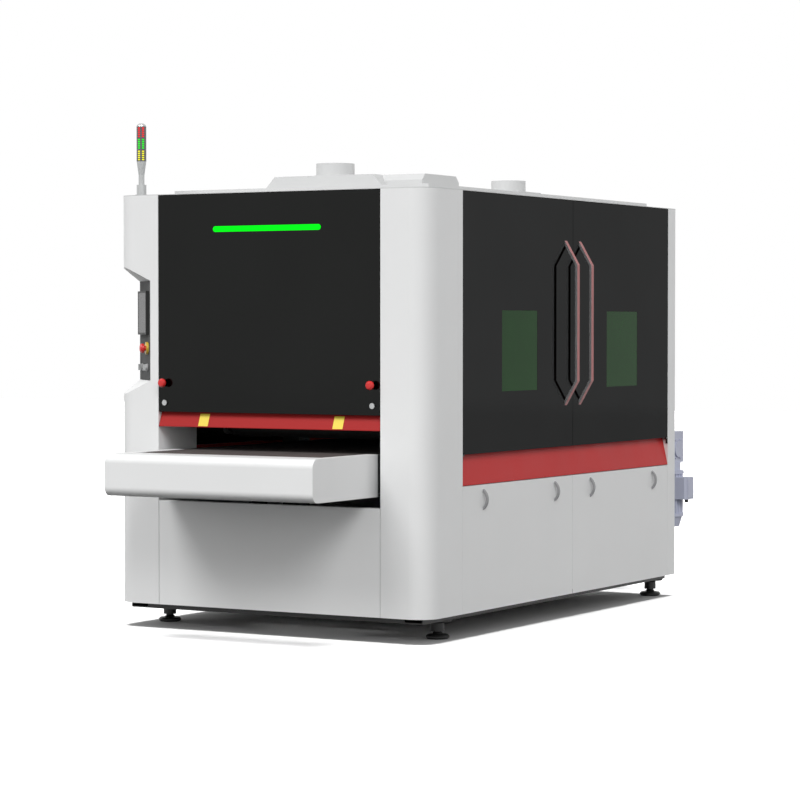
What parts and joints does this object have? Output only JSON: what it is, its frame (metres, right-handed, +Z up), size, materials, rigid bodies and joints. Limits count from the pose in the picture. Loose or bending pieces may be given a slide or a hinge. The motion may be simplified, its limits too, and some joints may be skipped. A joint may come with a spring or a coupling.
{
  "type": "sheet metal deburring machine",
  "caption": "Through-feed sheet deburring machine: closed cabinet on levelling feet, conveyor table, belt and brush heads, side doors, front cover and roof duct spigots.",
  "frame": {"origin": "on the floor, under the centre of the cabinet and of the table", "axes": "+X to the right of the operator at the infeed, +Y along the feed from infeed to outfeed, +Z up"},
  "size_m": [1.826, 3.62, 2.363],
  "materials": {
    "white_paint": "semi-gloss",
    "black_gloss": "gloss",
    "black_paint": "satin",
    "grey_paint": "satin",
    "red_paint": "gloss",
    "screen": "gloss",
    "yellow_plastic": "gloss",
    "chrome": "polished",
    "lamp_lens": "translucent",
    "green_light": "glowing",
    "red_plastic": "gloss",
    "green_plastic": "gloss",
    "grey_plastic": "matte",
    "green_glass": "tinted",
    "handle_metal": "satin",
    "belt_rubber": "matte",
    "roller_rubber": "matte",
    "aluminium": "turned",
    "gear_motor_paint": "painted",
    "motor_paint": "satin",
    "abrasive": "coarse",
    "brush_flaps": "coarse"
  },
  "bodies": {
    "cabinet": {"base_frame": "black_paint", "pivot_brackets": "black_paint", "foot_pads": "black_paint", "foot_studs": "black_paint", "main_frame": "grey_paint", "front_left_column": "white_paint", "front_right_column": "white_paint", "rear_columns": "white_paint", "lower_panels": "white_paint", "rear_panels": "white_paint", "roof_panel": "white_paint", "roof_covers": "white_paint", "duct_spigots": "white_paint", "control_panel": "grey_paint", "control_screen": "screen", "panel_button_collars": "yellow_plastic", "stack_light_post": "chrome", "stack_light_lenses": "lamp_lens", "red_bands": "red_paint", "head_frames": "grey_paint", "bearing_housings": "chrome", "head_motors": "motor_paint", "abrasive_belts": "abrasive", "lift_columns": "grey_paint"},
    "front_cover": {"front_cover": "black_gloss", "front_red_strip": "red_paint", "light_bar": "green_light"},
    "right_front_door": {"right_front_door": "black_gloss", "right_front_window": "green_glass", "right_front_handle": "handle_metal"},
    "right_rear_door": {"right_rear_door": "black_gloss", "right_rear_window": "green_glass", "right_rear_handle": "handle_metal"},
    "left_front_door": {"left_front_door": "black_gloss", "left_front_handle": "handle_metal"},
    "left_rear_door": {"left_rear_door": "black_gloss", "left_rear_handle": "handle_metal"},
    "table": {"table_frame": "grey_paint", "nose_covers": "white_paint", "conveyor_belt": "belt_rubber", "gear_motor": "gear_motor_paint"},
    "front_stop_left": {"front_stop_left": "red_plastic"},
    "front_stop_right": {"front_stop_right": "red_plastic"},
    "cover_lock_left": {"cover_lock_left": "chrome"},
    "cover_lock_right": {"cover_lock_right": "chrome"},
    "panel_stop": {"panel_stop": "red_plastic"},
    "start_button": {"start_button": "green_plastic"},
    "mode_knob": {"mode_knob": "grey_plastic"},
    "speed_knob": {"speed_knob": "grey_plastic"},
    "right_front_lower_panel": {"right_front_lower_panel": "white_paint"},
    "right_rear_lower_panel": {"right_rear_lower_panel": "white_paint"},
    "drive_roller": {"drive_roller": "roller_rubber"},
    "idler_roller": {"idler_roller": "aluminium"},
    "front_contact_drum": {"front_contact_drum": "roller_rubber"},
    "front_tension_roller": {"front_tension_roller": "aluminium"},
    "rear_contact_drum": {"rear_contact_drum": "roller_rubber"},
    "rear_tension_roller": {"rear_tension_roller": "aluminium"},
    "brush_roller": {"brush_roller": "brush_flaps"},
    "front_pinch_roller": {"front_pinch_roller": "roller_rubber"},
    "rear_pinch_roller": {"rear_pinch_roller": "roller_rubber"}
  },
  "joints": [
    {"name": "front_cover_hinge", "type": "hinge", "parent": "cabinet", "child": "front_cover", "pos_m": [0, -1.313, 2.006], "axis": [-1, 0, 0], "range_deg": [0, 75]},
    {"name": "front_stop_left_press", "type": "slide", "parent": "front_cover", "child": "front_stop_left", "axis": [0, 1, 0], "range_m": [0, 0.006]},
    {"name": "cover_lock_left_turn", "type": "hinge", "parent": "front_cover", "child": "cover_lock_left", "pos_m": [-0.561, -1.318, 1.055], "axis": [0, 1, 0], "range_deg": [0, 90]},
    {"name": "front_stop_right_press", "type": "slide", "parent": "front_cover", "child": "front_stop_right", "axis": [0, 1, 0], "range_m": [0, 0.006]},
    {"name": "cover_lock_right_turn", "type": "hinge", "parent": "front_cover", "child": "cover_lock_right", "pos_m": [0.561, -1.318, 1.055], "axis": [0, 1, 0], "range_deg": [0, 90]},
    {"name": "panel_stop_press", "type": "slide", "parent": "cabinet", "child": "panel_stop", "axis": [0.7071, 0.7071, 0], "range_m": [0, 0.006]},
    {"name": "start_button_press", "type": "slide", "parent": "cabinet", "child": "start_button", "axis": [0.7071, 0.7071, 0], "range_m": [0, 0.003], "stiffness_N_per_m": 600, "springref_m": -0.002},
    {"name": "mode_knob_turn", "type": "hinge", "parent": "cabinet", "child": "mode_knob", "pos_m": [-0.69126, -1.27174, 1.217], "axis": [-0.7071, -0.7071, 0], "range_deg": [-45, 45]},
    {"name": "speed_knob_turn", "type": "hinge", "parent": "cabinet", "child": "speed_knob", "pos_m": [-0.78318, -1.17982, 1.217], "axis": [-0.7071, -0.7071, 0], "range_deg": [-45, 45]},
    {"name": "right_front_door_hinge", "type": "hinge", "parent": "cabinet", "child": "right_front_door", "pos_m": [0.84, -0.9915, 1.425], "axis": [0, 0, -1], "range_deg": [0, 110]},
    {"name": "right_rear_door_hinge", "type": "hinge", "parent": "cabinet", "child": "right_rear_door", "pos_m": [0.84, 1.2065, 1.425], "axis": [0, 0, 1], "range_deg": [0, 110]},
    {"name": "left_front_door_hinge", "type": "hinge", "parent": "cabinet", "child": "left_front_door", "pos_m": [-0.84, -0.9915, 1.425], "axis": [0, 0, 1], "range_deg": [0, 110]},
    {"name": "left_rear_door_hinge", "type": "hinge", "parent": "cabinet", "child": "left_rear_door", "pos_m": [-0.84, 1.2065, 1.425], "axis": [0, 0, -1], "range_deg": [0, 110]},
    {"name": "right_front_lower_panel_tilt", "type": "hinge", "parent": "cabinet", "child": "right_front_lower_panel", "pos_m": [0.84, -0.448, 0.123], "axis": [0, 1, 0], "range_deg": [0, 30]},
    {"name": "right_rear_lower_panel_tilt", "type": "hinge", "parent": "cabinet", "child": "right_rear_lower_panel", "pos_m": [0.84, 0.663, 0.123], "axis": [0, 1, 0], "range_deg": [0, 30]},
    {"name": "table_lift", "type": "slide", "parent": "cabinet", "child": "table", "axis": [0, 0, 1], "range_m": [-0.035, 0.04]},
    {"name": "drive_roller_spin", "type": "hinge", "parent": "table", "child": "drive_roller", "pos_m": [0, 1.56, 0.7565], "axis": [1, 0, 0], "continuous": true},
    {"name": "idler_roller_spin", "type": "hinge", "parent": "table", "child": "idler_roller", "pos_m": [0, -1.56, 0.7565], "axis": [1, 0, 0], "continuous": true},
    {"name": "front_contact_drum_spin", "type": "hinge", "parent": "cabinet", "child": "front_contact_drum", "pos_m": [0, -0.6, 0.985], "axis": [1, 0, 0], "continuous": true},
    {"name": "front_tension_roller_spin", "type": "hinge", "parent": "cabinet", "child": "front_tension_roller", "pos_m": [0, -0.6, 1.6], "axis": [1, 0, 0], "continuous": true},
    {"name": "rear_contact_drum_spin", "type": "hinge", "parent": "cabinet", "child": "rear_contact_drum", "pos_m": [0, 0.82, 0.985], "axis": [1, 0, 0], "continuous": true},
    {"name": "rear_tension_roller_spin", "type": "hinge", "parent": "cabinet", "child": "rear_tension_roller", "pos_m": [0, 0.82, 1.6], "axis": [1, 0, 0], "continuous": true},
    {"name": "brush_roller_spin", "type": "hinge", "parent": "cabinet", "child": "brush_roller", "pos_m": [0, 0.1075, 1.032], "axis": [1, 0, 0], "continuous": true},
    {"name": "front_pinch_roller_spin", "type": "hinge", "parent": "cabinet", "child": "front_pinch_roller", "pos_m": [0, -0.78, 0.9164], "axis": [1, 0, 0], "continuous": true},
    {"name": "rear_pinch_roller_spin", "type": "hinge", "parent": "cabinet", "child": "rear_pinch_roller", "pos_m": [0, 1, 0.9164], "axis": [1, 0, 0], "continuous": true}
  ],
  "couplings": [
    {"joint": "idler_roller_spin", "follows": "drive_roller_spin", "ratio": 1},
    {"joint": "front_tension_roller_spin", "follows": "front_contact_drum_spin", "ratio": 1.4286},
    {"joint": "rear_tension_roller_spin", "follows": "rear_contact_drum_spin", "ratio": 1.4286}
  ]
}
